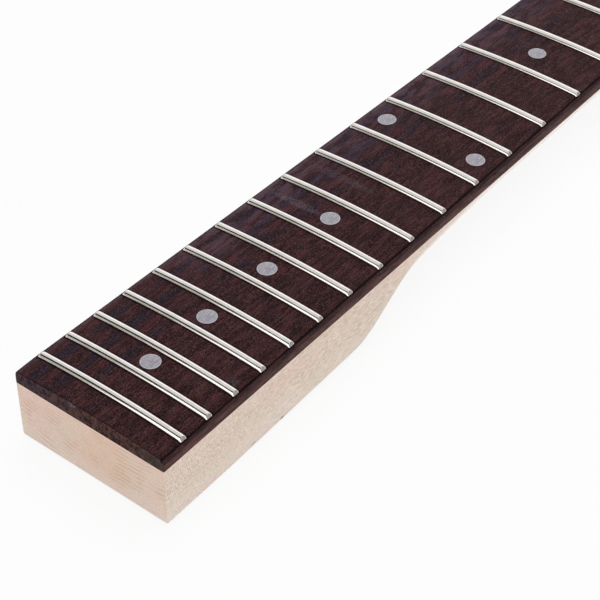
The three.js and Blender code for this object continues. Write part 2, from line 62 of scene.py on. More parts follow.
# Heel: a flat seat with square sides that is carved out into the round back
HEEL_SEAT_LENGTH = 86.5
SEAT_END_X = HEEL_END_X + HEEL_SEAT_LENGTH
DEPTH_RUNOUT = 43.5
BACK_RUNOUT = 43.5
SIDE_RUNOUT = 36
HEEL_END_EDGE = 0.3
SEAT_END_EDGE = 2.5
EDGE_WIDENS_AFTER = 27
CORNER_RADIUS = 0.25
HEEL_BACK_ROUND = 0.2
GLUE_EDGE = 0.12
SIDE_LAND = 0.8

# Shoulders: past the heel the shaft's section goes part of the way from a half ellipse to one arc
SHOULDER_CUT = 0.65
SHOULDER_FROM_X = 78
SHOULDER_RUNOUT = 48
SLIM_LAND = 0.2

# Screw pilot holes in the seat
SCREW_PATTERN_LENGTH = 50.8
SCREW_PATTERN_WIDTH = 38.1
PILOT_RADIUS = 1.5
PILOT_DEPTH = 14
PILOT_MOUTH = 0.3

# Room for the truss rod: a channel under the board and an open slot in the headstock
ROD_BELOW_BOARD = 6.3
CHANNEL_TO_HEEL_END = 16
CHANNEL_HALF_WIDTH = 3.2
CHANNEL_BELOW_ROD = 3
ACCESS_BEFORE_NUT = 4
ACCESS_PAST_NUT = 41.4
ACCESS_RADIUS = 4.6

# Headstock: a plain blade with its six posts along the bass edge
LEDGE_PAST_BOARD = 1.6
FACE_SCOOP_RADIUS = 14
HEAD_CARVE_BEFORE_NUT = 6
HEAD_CARVE_LENGTH = 44
HEAD_FLARE_LENGTH = 34
HEAD_EDGE = 1.5
BLANK_INTO_HEAD = 0.02
POST_RADIUS = 5
POST_LIP = 0.35
POST_STEP = 24.6
FIRST_POST_TO_NUT = 42
POST_BESIDE_STRING = 3
POST_TO_BASS_EDGE = 13.5
TREBLE_SWELL = 9.5
TREBLE_SWELL_START = 16
TREBLE_SWELL_LENGTH = 116
TIP_PAST_LAST_POST = 7
TREBLE_CORNER_BEFORE_TIP = 20
# A hair under the CAD's 20, so that the finer curve stays inside the CAD's box
TIP_ROUNDING = 19.97

# Fingerboard: its upper edges are rolled, a width and a depth, and the bass one opens at the heel
BASS_ROLL = (0.4, 0.9)
BASS_ROLL_AT_HEEL = (0.8, 2)
HEEL_ROLL_LENGTH = 9
TREBLE_ROLL = (1.6, 1.8)
BOARD_FOOT = 0.1

# Frets: a domed crown over a tang that is pressed into a blind slot
CROWN_WIDTH = 2.7
CROWN_HEIGHT = 1.15
FRET_SEAT_GAP = 0.03
FRET_END_INSET = 0.75
FRET_END_SLOPE = math.tan(math.radians(32))
FRET_CORNER = 0.5
FRET_CORNER_LENGTH = 0.9
FRET_RIM = 0.14
TANG_WIDTH = 0.5
TANG_DEPTH = 1.6
TANG_INTO_CROWN = 0.3
TANG_SETBACK = 1.6
SLOT_CLEARANCE = 0.05
SLOT_SPARE_DEPTH = 0.3

# String nut and its slot
NUT_THICKNESS = 3.2
NUT_FLOOR = 2.6
NUT_RISE = 2.3
NUT_BACK_DROP = 0.7
NUT_CREST = 1.1
NUT_EDGE = 0.12
NUT_BACK_EDGE = 0.25
NUT_END_ROUND = 0.4
NUT_CLEARANCE = 0.03
BOARD_PAST_NUT = 4.5
OUTER_STRING_TO_EDGE = 3.5
GROOVE_DEPTH = 0.9
GROOVE_CUT_HEIGHT = 3
BASS_GROOVE_WIDTH = 1.3
TREBLE_GROOVE_WIDTH = 0.5

# Markers: dots in the board's face and side dots in its bass edge
MARKER_FRETS = [3, 5, 7, 9, 12, 15, 17, 19, 21]
MARKER_RADIUS = 3.1
MARKER_THICKNESS = 2
DOUBLE_MARKER_SPACING = 35.3
SIDE_MARKER_RADIUS = 1.1
SIDE_MARKER_LENGTH = 3
SIDE_MARKER_HEIGHT = 2.2
SIDE_PAIR_SHIFT = 2.2
MARKER_CLEARANCE = 0.05
DOT_RIM = 0.06
DOT_CHAMFER = 0.1
DOT_DOME = 0.015

# One overrun serves every cut that has to break through a face
OVERRUN = 1

# How finely the curved faces are stepped
CORNER_STEPS = 6
SEAT_STEPS = 12
RUNOUT_STEPS = 40
SCOOP_STEPS = 16
GLUE_EDGE_STEPS = 4
BACK_STEPS = 24
OUTLINE_STEPS = 40
HEAD_EDGE_STEPS = 6
BOARD_CORNER_STEPS = 8
BOARD_STEPS = 48
HEEL_ROLL_STEPS = 9
ROLL_STEPS = 8
RADIUS_STEPS = 40
ACROSS_STEPS = 32
CROWN_STEPS = 32
FRET_CORNER_SHARES = (0, 0.12, 0.3, 0.6, 1)
FRET_RIM_STEPS = 4
NUT_END_PLACES = (0.05, 0.15, 0.3)
GROOVE_STEPS = 16
LIP_ANGLES = (0, 0.4, 0.8, 1.2, math.pi / 2)
RIM_ANGLES = (0.5, 1.0, math.pi / 2)
DOME_SHARES = (0.9, 0.7, 0.45, 0.2, 0.01)
ACCESS_STEPS = 32
HOLE_SIDES = 64
PILOT_SIDES = 32
SIDE_POCKET_SIDES = 40
MARKER_SIDES = 72
SIDE_MARKER_SIDES = 48


def lerp(a, b, share):
    return a + (b - a) * share


def clamp(value, low, high):
    return min(max(value, low), high)


def ramp(x, start, length):
    share = clamp((x - start) / length, 0, 1)
    return share * share * (3 - 2 * share)


def between(start, end, count):
    return [lerp(start, end, i / count) for i in range(count + 1)]


def stations(*spans):
    """The places of several stepped spans, in order."""
    return sorted({x for span in spans for x in between(*span)})


def quarter_turn(count):
    return [i * math.pi / (2 * count) for i in range(count + 1)]


def half_turn(count):
    return [i * math.pi / count for i in range(count + 1)]


def rectangle(left, right, low, high):
    return [(left, low), (right, low), (right, high), (left, high)]


def rounding(radius, angles):
    """How far a rounded edge draws in, and how deep it is there."""
    return [(radius * (1 - math.sin(a)), radius * (1 - math.cos(a))) for a in angles]


def at(x, y, z=0):
    return Matrix.Translation(Vector((x, y, z)) * MM)


def fret_x(n):
    down = SCALE_LENGTH * (2 ** (-n / FRETS_PER_OCTAVE) - 2 ** (-FRET_COUNT / FRETS_PER_OCTAVE))
    return HEEL_END_X + LAST_FRET_TO_HEEL_END + down


NUT_X = fret_x(0)
BOARD_END_X = NUT_X + NUT_THICKNESS + BOARD_PAST_NUT
LEDGE_END_X = BOARD_END_X + LEDGE_PAST_BOARD
HEAD_CARVE_X = NUT_X - HEAD_CARVE_BEFORE_NUT
HEAD_CARVE_END_X = HEAD_CARVE_X + HEAD_CARVE_LENGTH
SIDE_TAPER = (HEEL_WIDTH - NUT_END_WIDTH) / 2 / (NUT_X - HEEL_END_X)
SCOOP_FROM_MIDDLE = FACE_SCOOP_RADIUS - HEEL_THICKNESS + HEADSTOCK_THICKNESS
SCOOP_LENGTH = math.sqrt(FACE_SCOOP_RADIUS**2 - SCOOP_FROM_MIDDLE**2)


def sag(y):
    return BOARD_RADIUS - math.sqrt(BOARD_RADIUS**2 - y * y)


def inset(into, radius):
    """How far a rounded edge of that radius draws in at a distance from its end."""
    rest = clamp(radius - into, 0, radius)
    return radius - math.sqrt(radius**2 - rest**2)


def half_width(x):
    return HEEL_WIDTH / 2 - SIDE_TAPER * (x - HEEL_END_X) - inset(x - HEEL_END_X, CORNER_RADIUS)


# Mesh helpers
def make_object(name, points, faces, matrix=None):
    mesh = bpy.data.meshes.new(name)
    mesh.from_pydata([Vector(p) * MM for p in points], [], faces)
    mesh.validate()
    edit = bmesh.new()
    edit.from_mesh(mesh)
    bmesh.ops.remove_doubles(edit, verts=edit.verts, dist=1e-7)
    bmesh.ops.recalc_face_normals(edit, faces=edit.faces)
    edit.to_mesh(mesh)
    edit.free()
    obj = bpy.data.objects.new(name, mesh)
    bpy.context.scene.collection.objects.link(obj)
    if matrix is not None:
        obj.matrix_world = matrix
    return obj


def loft(name, rings, matrix=None):
    """A closed solid through rings of equal point count."""
    count = len(rings[0])
    faces = []
    for first in range(0, count * (len(rings) - 1), count):
        for i in range(count):
            a, b = first + i, first + (i + 1) % count
            faces.append((a, b, b + count, a + count))
    last = count * (len(rings) - 1)
    faces.append(tuple(range(count)))
    faces.append(tuple(range(last, last + count)))
    return make_object(name, [p for ring in rings for p in ring], faces, matrix)


def lathe(name, profile, sides, matrix=None):
    """A solid turned about Z, from (radius, height) pairs with closed ends."""
    turn = [2 * math.pi * i / sides for i in range(sides)]
    rings = [[(r * math.cos(a), r * math.sin(a), height) for a in turn] for r, height in profile]
    return loft(name, rings, matrix)


def box(name, low, high):
    section = rectangle(low[1], high[1], low[2], high[2])
    return loft(name, [[(x, y, z) for y, z in section] for x in (low[0], high[0])])


def combine(target, others, operation):
    """Joins the other solids, which keep clear of each other, and adds or cuts them in one go."""
    tool = others[0]
    if len(others) > 1:
        edit = bmesh.new()
        for other in others:
            part = other.data.copy()
            part.transform(other.matrix_world)
            edit.from_mesh(part)
            bpy.data.meshes.remove(part)
        mesh = bpy.data.meshes.new("tool")
        edit.to_mesh(mesh)
        edit.free()
        tool = bpy.data.objects.new("tool", mesh)
        bpy.context.scene.collection.objects.link(tool)
        for other in others:
            bpy.data.objects.remove(other)
    modifier = target.modifiers.new("cut", "BOOLEAN")
    modifier.object = tool
    modifier.operation = operation
    modifier.solver = "EXACT"
    bpy.context.view_layer.update()
    found = target.evaluated_get(bpy.context.evaluated_depsgraph_get())
    mesh = bpy.data.meshes.new_from_object(found)
    target.modifiers.clear()
    target.data = mesh
    bpy.data.objects.remove(tool)


def finish(obj, body, material, nodes, sharp=30):
    mesh = obj.data
    mesh.polygons.foreach_set("use_smooth", [True] * len(mesh.polygons))
    mesh.set_sharp_from_angle(angle=math.radians(sharp))
    weighted = obj.modifiers.new("weighted", "WEIGHTED_NORMAL")
    weighted.keep_sharp = True
    mesh.materials.clear()
    mesh.materials.append(material)
    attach(obj, body)
    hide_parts(*nodes)


# Shader helpers
def rgb(text):
    """A linear colour from a written sRGB one."""
    parts = [int(text[i : i + 2], 16) / 255 for i in (1, 3, 5)]
    return [p / 12.92 if p <= 0.04045 else ((p + 0.055) / 1.055) ** 2.4 for p in parts] + [1.0]


def bare_material(name):
    """A material whose node tree holds only its output."""
    material = bpy.data.materials.new(name)
    material.use_nodes = True
    material.node_tree.nodes.clear()
    return material, material.node_tree.nodes.new("ShaderNodeOutputMaterial")


class Shader:
    """A material's node tree, with short calls for the nodes used here. Places are in metres."""

    def __init__(self, name):
        self.material, self.output = bare_material(name)
        self.tree = self.material.node_tree
        coordinates = self.tree.nodes.new("ShaderNodeTexCoord")
        self.place = coordinates.outputs["Object"]
        self.facing = coordinates.outputs["Normal"]

    def put(self, socket, value):
        if isinstance(value, bpy.types.NodeSocket):
            self.tree.links.new(value, socket)
        else:
            socket.default_value = rgb(value) if isinstance(value, str) else value

    def math(self, operation, *values):
        node = self.tree.nodes.new("ShaderNodeMath")
        node.operation = operation
        for socket, value in zip(node.inputs, values):
            self.put(socket, value)
        return node.outputs[0]

    def times(self, first, second):
        return self.math("MULTIPLY", first, second)

    def plus(self, first, second):
        return self.math("ADD", first, second)

    def minus(self, first, second):
        return self.math("SUBTRACT", first, second)

    def most(self, first, second):
        return self.math("MAXIMUM", first, second)

    def least(self, first, second):
        return self.math("MINIMUM", first, second)

    def far(self, across, up):
        return self.math("SQRT", self.plus(self.times(across, across), self.times(up, up)))

    def split(self, vector):
        node = self.tree.nodes.new("ShaderNodeSeparateXYZ")
        self.put(node.inputs[0], vector)
        return node.outputs

    def stretch(self, vector, scale, move=(0, 0, 0)):
        node = self.tree.nodes.new("ShaderNodeMapping")
        self.put(node.inputs["Vector"], vector)
        node.inputs["Scale"].default_value = scale
        node.inputs["Location"].default_value = move
        return node.outputs[0]

    def noise(self, vector, scale, detail, roughness=0.5, color=False):
        node = self.tree.nodes.new("ShaderNodeTexNoise")
        self.put(node.inputs["Vector"], vector)
        node.inputs["Scale"].default_value = scale
        node.inputs["Detail"].default_value = detail
        node.inputs["Roughness"].default_value = roughness
        return node.outputs["Color" if color else "Fac"]

    def warp(self, vector, scale, amount):
        wave = self.noise(vector, scale, 2.0, color=True)
        node = self.tree.nodes.new("ShaderNodeVectorMath")
        node.operation = "MULTIPLY_ADD"
        self.put(node.inputs[0], wave)
        node.inputs[1].default_value = (amount, amount, amount)
        self.put(node.inputs[2], vector)
        return node.outputs[0]

    def rise(self, value, low, high, to_low=0.0, to_high=1.0):
        """Goes smoothly from one value to another while the input goes from low to high."""
        node = self.tree.nodes.new("ShaderNodeMapRange")
        node.interpolation_type = "SMOOTHSTEP"
        for socket, number in zip(node.inputs, (value, low, high, to_low, to_high)):
            self.put(socket, number)
        return node.outputs[0]

    def fall(self, value, low, high):
        return self.rise(value, low, high, 1.0, 0.0)

    def spot(self, along, up, middle, size):
        """A soft oval mark, 1 in its middle."""
        parts = []
        for value, centre, reach in zip((along, up), middle, size):
            part = self.math("DIVIDE", self.minus(value, centre), reach)
            parts.append(self.times(part, part))
        return self.fall(self.plus(*parts), 0.25, 1.0)

    def mix(self, share, first, second):
        node = self.tree.nodes.new("ShaderNodeMix")
        node.data_type = "RGBA"
        self.put(node.inputs[0], share)
        self.put(node.inputs[6], first)
        self.put(node.inputs[7], second)
        return node.outputs[2]

    def coats(self, base, *rows):
        """Lays colours over each other, each by its share."""
        for share, color in rows:
            base = self.mix(share, base, color)
        return base

    def bump(self, height, distance, strength):
        node = self.tree.nodes.new("ShaderNodeBump")
        self.put(node.inputs["Height"], height)
        node.inputs["Distance"].default_value = distance
        node.inputs["Strength"].default_value = strength
        return node.outputs[0]

    def surface(self, **values):
        node = self.tree.nodes.new("ShaderNodeBsdfPrincipled")
        for key, value in values.items():
            self.put(node.inputs[key.replace("_", " ")], value)
        self.put(self.output.inputs[0], node.outputs[0])
        return self.material


# Materials, in metres: the heel's end and the glue line, and the main spacings of their figure
END = HEEL_END_X * MM
GLUE = HEEL_THICKNESS * MM
RING_SPACING = 0.0017
PITH_Y, PITH_Z = -0.005, 0.14
BAND_SPACING = 0.0072
FIRST_BAND_Y = 0.0227
SHADOW_SHIFT = 0.00012


def maple_material():
    s = Shader("raw_maple")
    x, y, z = s.split(s.place)
    end = s.fall(x, END + 0.00005, END + 0.0002)
    # Growth rings: fine arcs about a pith far above the neck, drawn out along it
    sway = s.noise(s.stretch(s.place, (0.12, 1, 1)), 60, 2.0)
    ripple = s.noise(s.stretch(s.place, (0.4, 1, 1)), 420, 3.0, 0.55)
    radius = s.far(s.minus(z, PITH_Z), s.minus(y, PITH_Y))
    radius = s.plus(s.plus(radius, s.times(sway, 0.004)), s.times(ripple, 0.001))
    wave = s.math("SINE", s.times(radius, 2 * math.pi / RING_SPACING))
    strength = s.rise(s.noise(s.stretch(s.place, (0.2, 1, 1)), 150, 2.0), 0.42, 0.64, 0.08, 1.0)
    rings = s.times(s.rise(wave, -1.0, 1.0), strength)
    # Ray flecks: upright beside the heel, lying along the neck further on
    bent = s.warp(s.place, 260, 0.0012)
    upright = s.noise(s.stretch(bent, (1.2, 1.0, 0.5)), 2800, 2.0, 0.6)
    lying = s.noise(s.stretch(bent, (0.13, 1.0, 1.2)), 3300, 2.0, 0.6)
    turn = s.rise(x, -0.022, 0.016)
    flecks = s.plus(s.times(upright, s.minus(1.0, turn)), s.times(lying, turn))
    cloud = s.noise(s.stretch(s.place, (0.5, 1, 1)), 45, 3.0)
    tint = s.noise(s.stretch(s.place, (0.25, 1, 1), move=(0, 0.1, 0)), 130, 2.0)
    ring_share = s.times(rings, s.plus(s.times(end, 0.5), 0.18))
    fleck_share = s.times(s.rise(flecks, 0.4, 0.62), s.minus(0.9, s.times(end, 0.45)))
    # Painted highlight: a thin paler line just under the glue edge, standing in for that edge catching the
    # light
    glue_edge_highlight = s.rise(z, GLUE - 0.0005, GLUE - 0.0002)
    base = s.coats(
        s.mix(s.rise(cloud, 0.35, 0.65), "#e8d8c9", "#eadccf"),
        (s.times(end, 0.8), "#e6cbbb"),
        (s.times(s.rise(tint, 0.5, 0.66), 0.5), "#e9c9bd"),
        (s.times(s.fall(tint, 0.34, 0.5), 0.5), "#dfd0b8"),
        (ring_share, "#c6a48c"),
        (fleck_share, "#c5b2a0"),
        (s.times(glue_edge_highlight, 0.5), "#f2dfd6"),
    )
    # Pinker towards the glue and amber in the middle of the end; paler towards the seat is painted light,
    # as if bounced up from the floor
    pink = s.times(s.rise(z, 0.011, 0.019), s.plus(s.times(end, 0.22), 0.14))
    amber = s.times(s.spot(y, z, (-0.005, 0.01), (0.013, 0.013)), s.times(end, 0.25))
    # Painted light from below: the lower part of the sides and end is painted paler
    low = s.fall(s.plus(z, s.times(end, 0.0025)), 0.0022, 0.0112)
    base = s.coats(base, (pink, "#e2c3b3"), (amber, "#dcb795"), (s.times(low, 0.32), "#f1e8df"))
    # Beyond the heel the wood is painted paler, most of all where it turns under: painted light, as if from
    # a bright floor below
    under = s.rise(s.times(s.split(s.facing)[2], -1.0), 0.15, 0.55)
    pale = s.times(s.rise(x, 0.052, 0.125), 0.5)
    pale = s.least(s.plus(pale, s.times(under, s.rise(x, 0.045, 0.075))), 0.92)
    # Two small bruises at the foot of the treble side
    bruises = s.most(
        s.spot(x, z, (0.0099, 0.0011), (0.0012, 0.0006)),
        s.times(s.spot(x, z, (-0.0032, 0.0013), (0.001, 0.0005)), 0.4),
    )
    bruises = s.times(bruises, s.math("LESS_THAN", y, 0.0))
    base = s.coats(base, (pale, "#fcf4ee"), (s.times(bruises, 0.7), "#6c5f4c"))
    fibres = s.noise(s.stretch(s.place, (0.1, 1, 1)), 2600, 3.0, 0.6)
    return s.surface(
        Base_Color=base,
        Roughness=s.rise(flecks, 0.3, 0.7, 0.62, 0.78),
        Specular_IOR_Level=0.25,
        Normal=s.bump(s.plus(fibres, s.times(flecks, 0.6)), 0.00004, 0.5),
    )


def beside_fret(s, x):
    """How far a point lies from the middle of the nearest fret and its shadow."""
    octaves = 2 ** (-FRET_COUNT / FRETS_PER_OCTAVE)
    past_last = s.minus(x, fret_x(FRET_COUNT) * MM)
    share = s.plus(s.math("DIVIDE", past_last, SCALE_LENGTH * MM), octaves)
    number = s.times(s.math("LOGARITHM", s.most(share, 0.1), 2.0), -FRETS_PER_OCTAVE)
    nearest = s.most(s.least(s.math("ROUND", number), FRET_COUNT), 1.0)
    place = s.minus(s.math("POWER", 2.0, s.times(nearest, -1 / FRETS_PER_OCTAVE)), octaves)
    middle = s.plus(s.times(place, SCALE_LENGTH * MM), SHADOW_SHIFT)
    return s.math("ABSOLUTE", s.minus(past_last, middle))


def rosewood_material():
    s = Shader("rosewood")
    x, y, z = s.split(s.place)
    taper = s.times(s.minus(x, END), SIDE_TAPER)
    from_side = s.minus(s.minus(HEEL_WIDTH / 2 * MM, taper), s.math("ABSOLUTE", y))
    mottle = s.noise(s.stretch(s.place, (0.3, 1, 1), move=(0.3, 0.1, 0)), 420, 3.0, 0.6)
    hue = s.noise(s.stretch(s.place, (0.6, 1, 1)), 520, 3.0, 0.6)
    wavy = s.warp(s.place, 80, 0.001)
    streaks = s.noise(s.stretch(wavy, (0.07, 1, 1)), 1300, 3.0, 0.6)
    pores = s.noise(s.stretch(wavy, (0.1, 1, 1), move=(0, 0, 0.2)), 2800, 2.0, 0.6)
    pore_share = s.rise(pores, 0.56, 0.6)
    speckle = s.noise(s.place, 3000, 2.0, 0.7)
    # Red and blue-black bands run with the grain on the bass side
    bass = s.rise(y, -0.003, 0.009)
    drift = s.noise(s.stretch(s.place, (0.25, 1, 1)), 90, 2.0)
    patches = s.noise(s.warp(s.stretch(s.place, (0.45, 1, 1)), 120, 0.005), 185, 2.0)
    band_place = s.minus(s.plus(y, s.times(drift, 0.006)), FIRST_BAND_Y)
    bands = s.math("SINE", s.times(band_place, 2 * math.pi / BAND_SPACING))
    band_level = s.plus(s.times(bands, 0.12), patches)
    blue = s.times(s.rise(band_level, 0.42, 0.72), s.plus(s.times(bass, 0.75), 0.12))
    red = s.times(s.fall(band_level, 0.28, 0.5), s.times(bass, 0.45))
    # A painted sheen: a violet haze on the bass side, away from the heel, stands in for the surround's
    # reflection
    painted_sheen = s.times(s.rise(x, 0.008, 0.04), s.rise(y, 0.007, 0.024))
    painted_sheen = s.times(painted_sheen, s.rise(mottle, 0.4, 0.6, 0.04, 0.44))
    # Dust: along the bass edge, in two scuffs across the grain and beside one fret
    grit = s.rise(s.noise(s.place, 2300, 2.0, 0.6), 0.42, 0.62)
    edge_dust = s.times(s.fall(from_side, 0.0003, 0.0026), s.math("GREATER_THAN", y, 0.0))
    scuffs = s.most(
        s.spot(x, y, (0.0668, 0.0125), (0.0019, 0.012)),
        s.times(s.spot(x, y, (0.0855, 0.0095), (0.0022, 0.014)), 0.55),
    )
    scuffs = s.most(scuffs, s.times(s.spot(x, y, (-0.0066, -0.0228), (0.0028, 0.0026)), 0.6))
    dust = s.most(
        s.times(scuffs, s.times(grit, 0.5)),
        s.times(edge_dust, s.rise(grit, 0.0, 1.0, 0.15, 0.45)),
    )
    base = s.coats(
        s.mix(s.rise(mottle, 0.38, 0.62), "#280a0e", "#472423"),
        (s.times(s.rise(hue, 0.48, 0.68), 0.4), "#322520"),
        (red, "#4e232c"),
        (blue, "#211b2b"),
        (s.times(s.rise(streaks, 0.5, 0.59), 0.8), "#1c080b"),
        (s.times(pore_share, 0.95), "#170507"),
        (s.times(s.rise(speckle, 0.51, 0.66), 0.4), "#705b5e"),
        (s.times(s.fall(speckle, 0.34, 0.47), 0.6), "#130406"),
        (painted_sheen, "#5e4956"),
        (dust, "#6c606b"),
    )
    # The filed sides are paler towards the glue
    figure = s.rise(streaks, 0.35, 0.65)
    low_side = s.mix(figure, "#664440", "#3a2420")
    high_side = s.mix(figure, "#3a2325", "#25171a")
    filed = s.coats(
        s.mix(s.rise(z, 0.0208, 0.0248), low_side, high_side),
        (s.times(s.rise(speckle, 0.46, 0.68), 0.25), "#7a5f5c"),
        (s.times(pore_share, 0.7), "#1c100f"),
    )
    # Bare end grain shows at the heel, greyer towards both sides and rubbed at its top
    end = s.fall(x, END + 0.00002, END + 0.0001)
    grain = s.rise(s.noise(s.stretch(s.place, (1, 0.8, 0.5)), 1400, 3.0, 0.7), 0.4, 0.6)
    rub = s.times(s.spot(y, z, (0.006, 0.0254), (0.0028, 0.0012)), grit)
    cut = s.coats(
        s.mix(grain, "#1d0e0f", "#54352f"),
        (s.times(s.rise(y, 0.0, 0.022), 0.8), s.mix(grain, "#1b1216", "#47343e")),
        (s.times(s.fall(y, -0.026, -0.014), 0.5), "#3b3831"),
        (s.times(rub, 0.45), "#8f868e"),
    )
    # Dark lines: painted shade where the edges begin, grime with a painted contact shadow beside each fret,
    # and the glue line at the foot deepened with painted shade
    # Painted shade: a dark line where the treble edge starts to roll and along the top of the heel's end,
    # standing in for a dark reflection
    line = s.times(s.rise(from_side, 0.0004, 0.0007), s.fall(from_side, 0.0009, 0.0013))
    line = s.times(line, s.math("LESS_THAN", y, 0.0))
    end_edge_shade = s.times(s.fall(x, END + 0.00015, END + 0.0004), s.minus(1.0, end))
    line = s.times(s.most(line, s.times(end_edge_shade, 0.6)), s.rise(z, 0.0236, 0.0240))
    # Grime and painted shadow: a dark band on each side of every fret, shifted a little towards the
    # headstock where the fret's shadow falls
    grime_and_shadow = s.times(s.fall(beside_fret(s, x), 0.0017, 0.00195), s.rise(from_side, 0.0005, 0.0009))
    base = s.coats(
        base,
        (s.fall(from_side, 0.0005, 0.0009), filed),
        (end, cut),
        (s.times(line, 0.85), "#080304"),
        (s.times(grime_and_shadow, 0.85), "#0a0505"),
        # The dark glue line at the board's foot, deepened with painted shade where the board meets the
        # maple
        (s.times(s.fall(z, GLUE + 0.0001, GLUE + 0.0004), 0.7), "#2e130a"),
    )
    return s.surface(
        Base_Color=base,
        Roughness=s.plus(s.rise(patches, 0.3, 0.7, 0.46, 0.58), s.times(line, 0.3)),
        Specular_IOR_Level=0.05,
        Normal=s.bump(s.minus(s.times(streaks, 0.4), pore_share), 0.00006, 0.6),
    )


def fret_material():
    s = Shader("nickel_silver")
    brushed = s.noise(s.stretch(s.place, (1, 0.02, 1)), 6000, 2.0)
    tarnish = s.noise(s.place, 300, 3.0, 0.6)
    return s.surface(
        Base_Color=s.mix(s.rise(tarnish, 0.3, 0.7), "#eae3e0", "#f5eeec"),
        Metallic=1.0,
        Roughness=s.rise(tarnish, 0.3, 0.7, 0.09, 0.16),
        Normal=s.bump(brushed, 0.000004, 0.5),
    )


def pearl_material(name, radius):
    s = Shader(name)
    x, y = s.split(s.place)[:2]
    cloud = s.noise(s.warp(s.place, 300, 0.002), 1500, 4.0, 0.75)
    rim = s.rise(s.far(x, y), radius * 0.86, radius * 0.95)
    base = s.mix(s.rise(cloud, 0.35, 0.65), "#7a7681", "#aaa7ae")
    return s.surface(
        Base_Color=s.mix(s.times(rim, 0.8), base, "#b9b4ba"),
        Roughness=s.rise(cloud, 0.3, 0.7, 0.3, 0.42),
        Normal=s.bump(cloud, 0.00002, 0.3),
    )


def bone_material():
    s = Shader("bone")
    cloud = s.noise(s.stretch(s.place, (1, 0.4, 1)), 260, 4.0, 0.6)
    fleck = s.noise(s.stretch(s.place, (1, 0.15, 1)), 1900, 2.0)
    base = s.mix(s.rise(cloud, 0.3, 0.7), "#ddd5c2", "#ece6d8")
    return s.surface(
        Base_Color=s.mix(s.times(s.rise(fleck, 0.6, 0.75), 0.3), base, "#b9ab90"),
        Roughness=s.rise(cloud, 0.3, 0.7, 0.32, 0.45),
        Normal=s.bump(fleck, 0.00003, 0.3),
    )


def turned_material(name, dark, light, low, high):
    s = Shader(name)
    rings = s.noise(s.stretch(s.place, (1, 0.05, 0.05)), 9000, 2.0, 0.6)
    cloud = s.noise(s.place, 350, 3.0, 0.6)
    return s.surface(
        Base_Color=s.mix(s.rise(cloud, 0.3, 0.7), dark, light),
        Metallic=1.0,
        Roughness=s.rise(cloud, 0.3, 0.7, low, high),
        Normal=s.bump(rings, 0.00001, 0.4),
    )


maple = maple_material()
rosewood = rosewood_material()
nickel = fret_material()
pearl = pearl_material("pearl_dot", MARKER_RADIUS * MM)
side_pearl = pearl_material("pearl_side_dot", SIDE_MARKER_RADIUS * MM)
bone = bone_material()
steel = turned_material("turned_steel", "#8f9193", "#b2b4b6", 0.28, 0.42)
brass = turned_material("machined_brass", "#b08e3c", "#c9a956", 0.25, 0.4)

# Strings and the posts beside them
STRING_SPACING = (NUT_END_WIDTH - 2 * OUTER_STRING_TO_EDGE) / (STRING_COUNT - 1)
POST_SLOPE = -STRING_SPACING / POST_STEP
EDGE_OFFSET_Y = POST_TO_BASS_EDGE * math.hypot(1, POST_SLOPE)


def string_y(i):
    return ((STRING_COUNT - 1) / 2 - i) * STRING_SPACING


posts = []
for i in range(STRING_COUNT):
    posts.append((NUT_X + FIRST_POST_TO_NUT + i * POST_STEP, string_y(i) + POST_BESIDE_STRING))
TIP_X = posts[-1][0] + TIP_PAST_LAST_POST


# Headstock outline
def bass_edge(x):
    beside = posts[0][1] + POST_SLOPE * (x - posts[0][0]) + EDGE_OFFSET_Y
    return lerp(half_width(x), beside, ramp(x, BOARD_END_X, HEAD_FLARE_LENGTH))


def treble_edge(x):
    swell = TREBLE_SWELL * ramp(x, NUT_X + TREBLE_SWELL_START, TREBLE_SWELL_LENGTH)
    return -(half_width(min(x, BOARD_END_X)) + swell)


def headstock_outline():
    turn = math.atan(POST_SLOPE)
    points = [(x, bass_edge(x)) for x in between(HEAD_CARVE_END_X, TIP_X, OUTLINE_STEPS)]
    last = TIP_X - TREBLE_CORNER_BEFORE_TIP
    controls = [
        points[-1],
        (TIP_X + TIP_ROUNDING * math.cos(turn), points[-1][1] + TIP_ROUNDING * math.sin(turn)),
        (TIP_X + TIP_ROUNDING, treble_edge(TIP_X)),
        (last, treble_edge(last)),
    ]
    for t in between(0, 1, OUTLINE_STEPS)[1:]:
        weights = [(1 - t) ** 3, 3 * t * (1 - t) ** 2, 3 * t * t * (1 - t), t**3]
        points.append(tuple(sum(w * c[k] for w, c in zip(weights, controls)) for k in (0, 1)))
    points += [(x, treble_edge(x)) for x in between(last, HEAD_CARVE_END_X, OUTLINE_STEPS)[1:]]
    return points


def headstock_plate():
    """The outline, drawn in at its lower and upper edge by a quarter round."""
    outline = [Vector(p) for p in headstock_outline()]
    middle = sum(outline, Vector((0, 0))) / len(outline)
    normals = []
    for i, point in enumerate(outline):
        before = point - outline[i - 1]
        after = outline[(i + 1) % len(outline)] - point
        corner = [Vector((-d.y, d.x)).normalized() for d in (before, after)]
        inward = (corner[0] + corner[1]).normalized()
        if inward.dot(middle - point) < 0:
            inward.negate()
        normals.append(inward / max(0.5, abs(inward.dot(corner[0]))))
    levels = rounding(HEAD_EDGE, quarter_turn(HEAD_EDGE_STEPS))
    levels += [(d, HEADSTOCK_THICKNESS - z) for d, z in reversed(levels)]
    rings = [[(*(p + n * d), z) for p, n in zip(outline, normals)] for d, z in levels]
    return loft("headstock", rings)


# Neck
def neck_top(x):
    to_end = clamp(LEDGE_END_X + SCOOP_LENGTH - x, 0, SCOOP_LENGTH)
    return HEADSTOCK_THICKNESS + FACE_SCOOP_RADIUS - math.sqrt(FACE_SCOOP_RADIUS**2 - to_end**2)


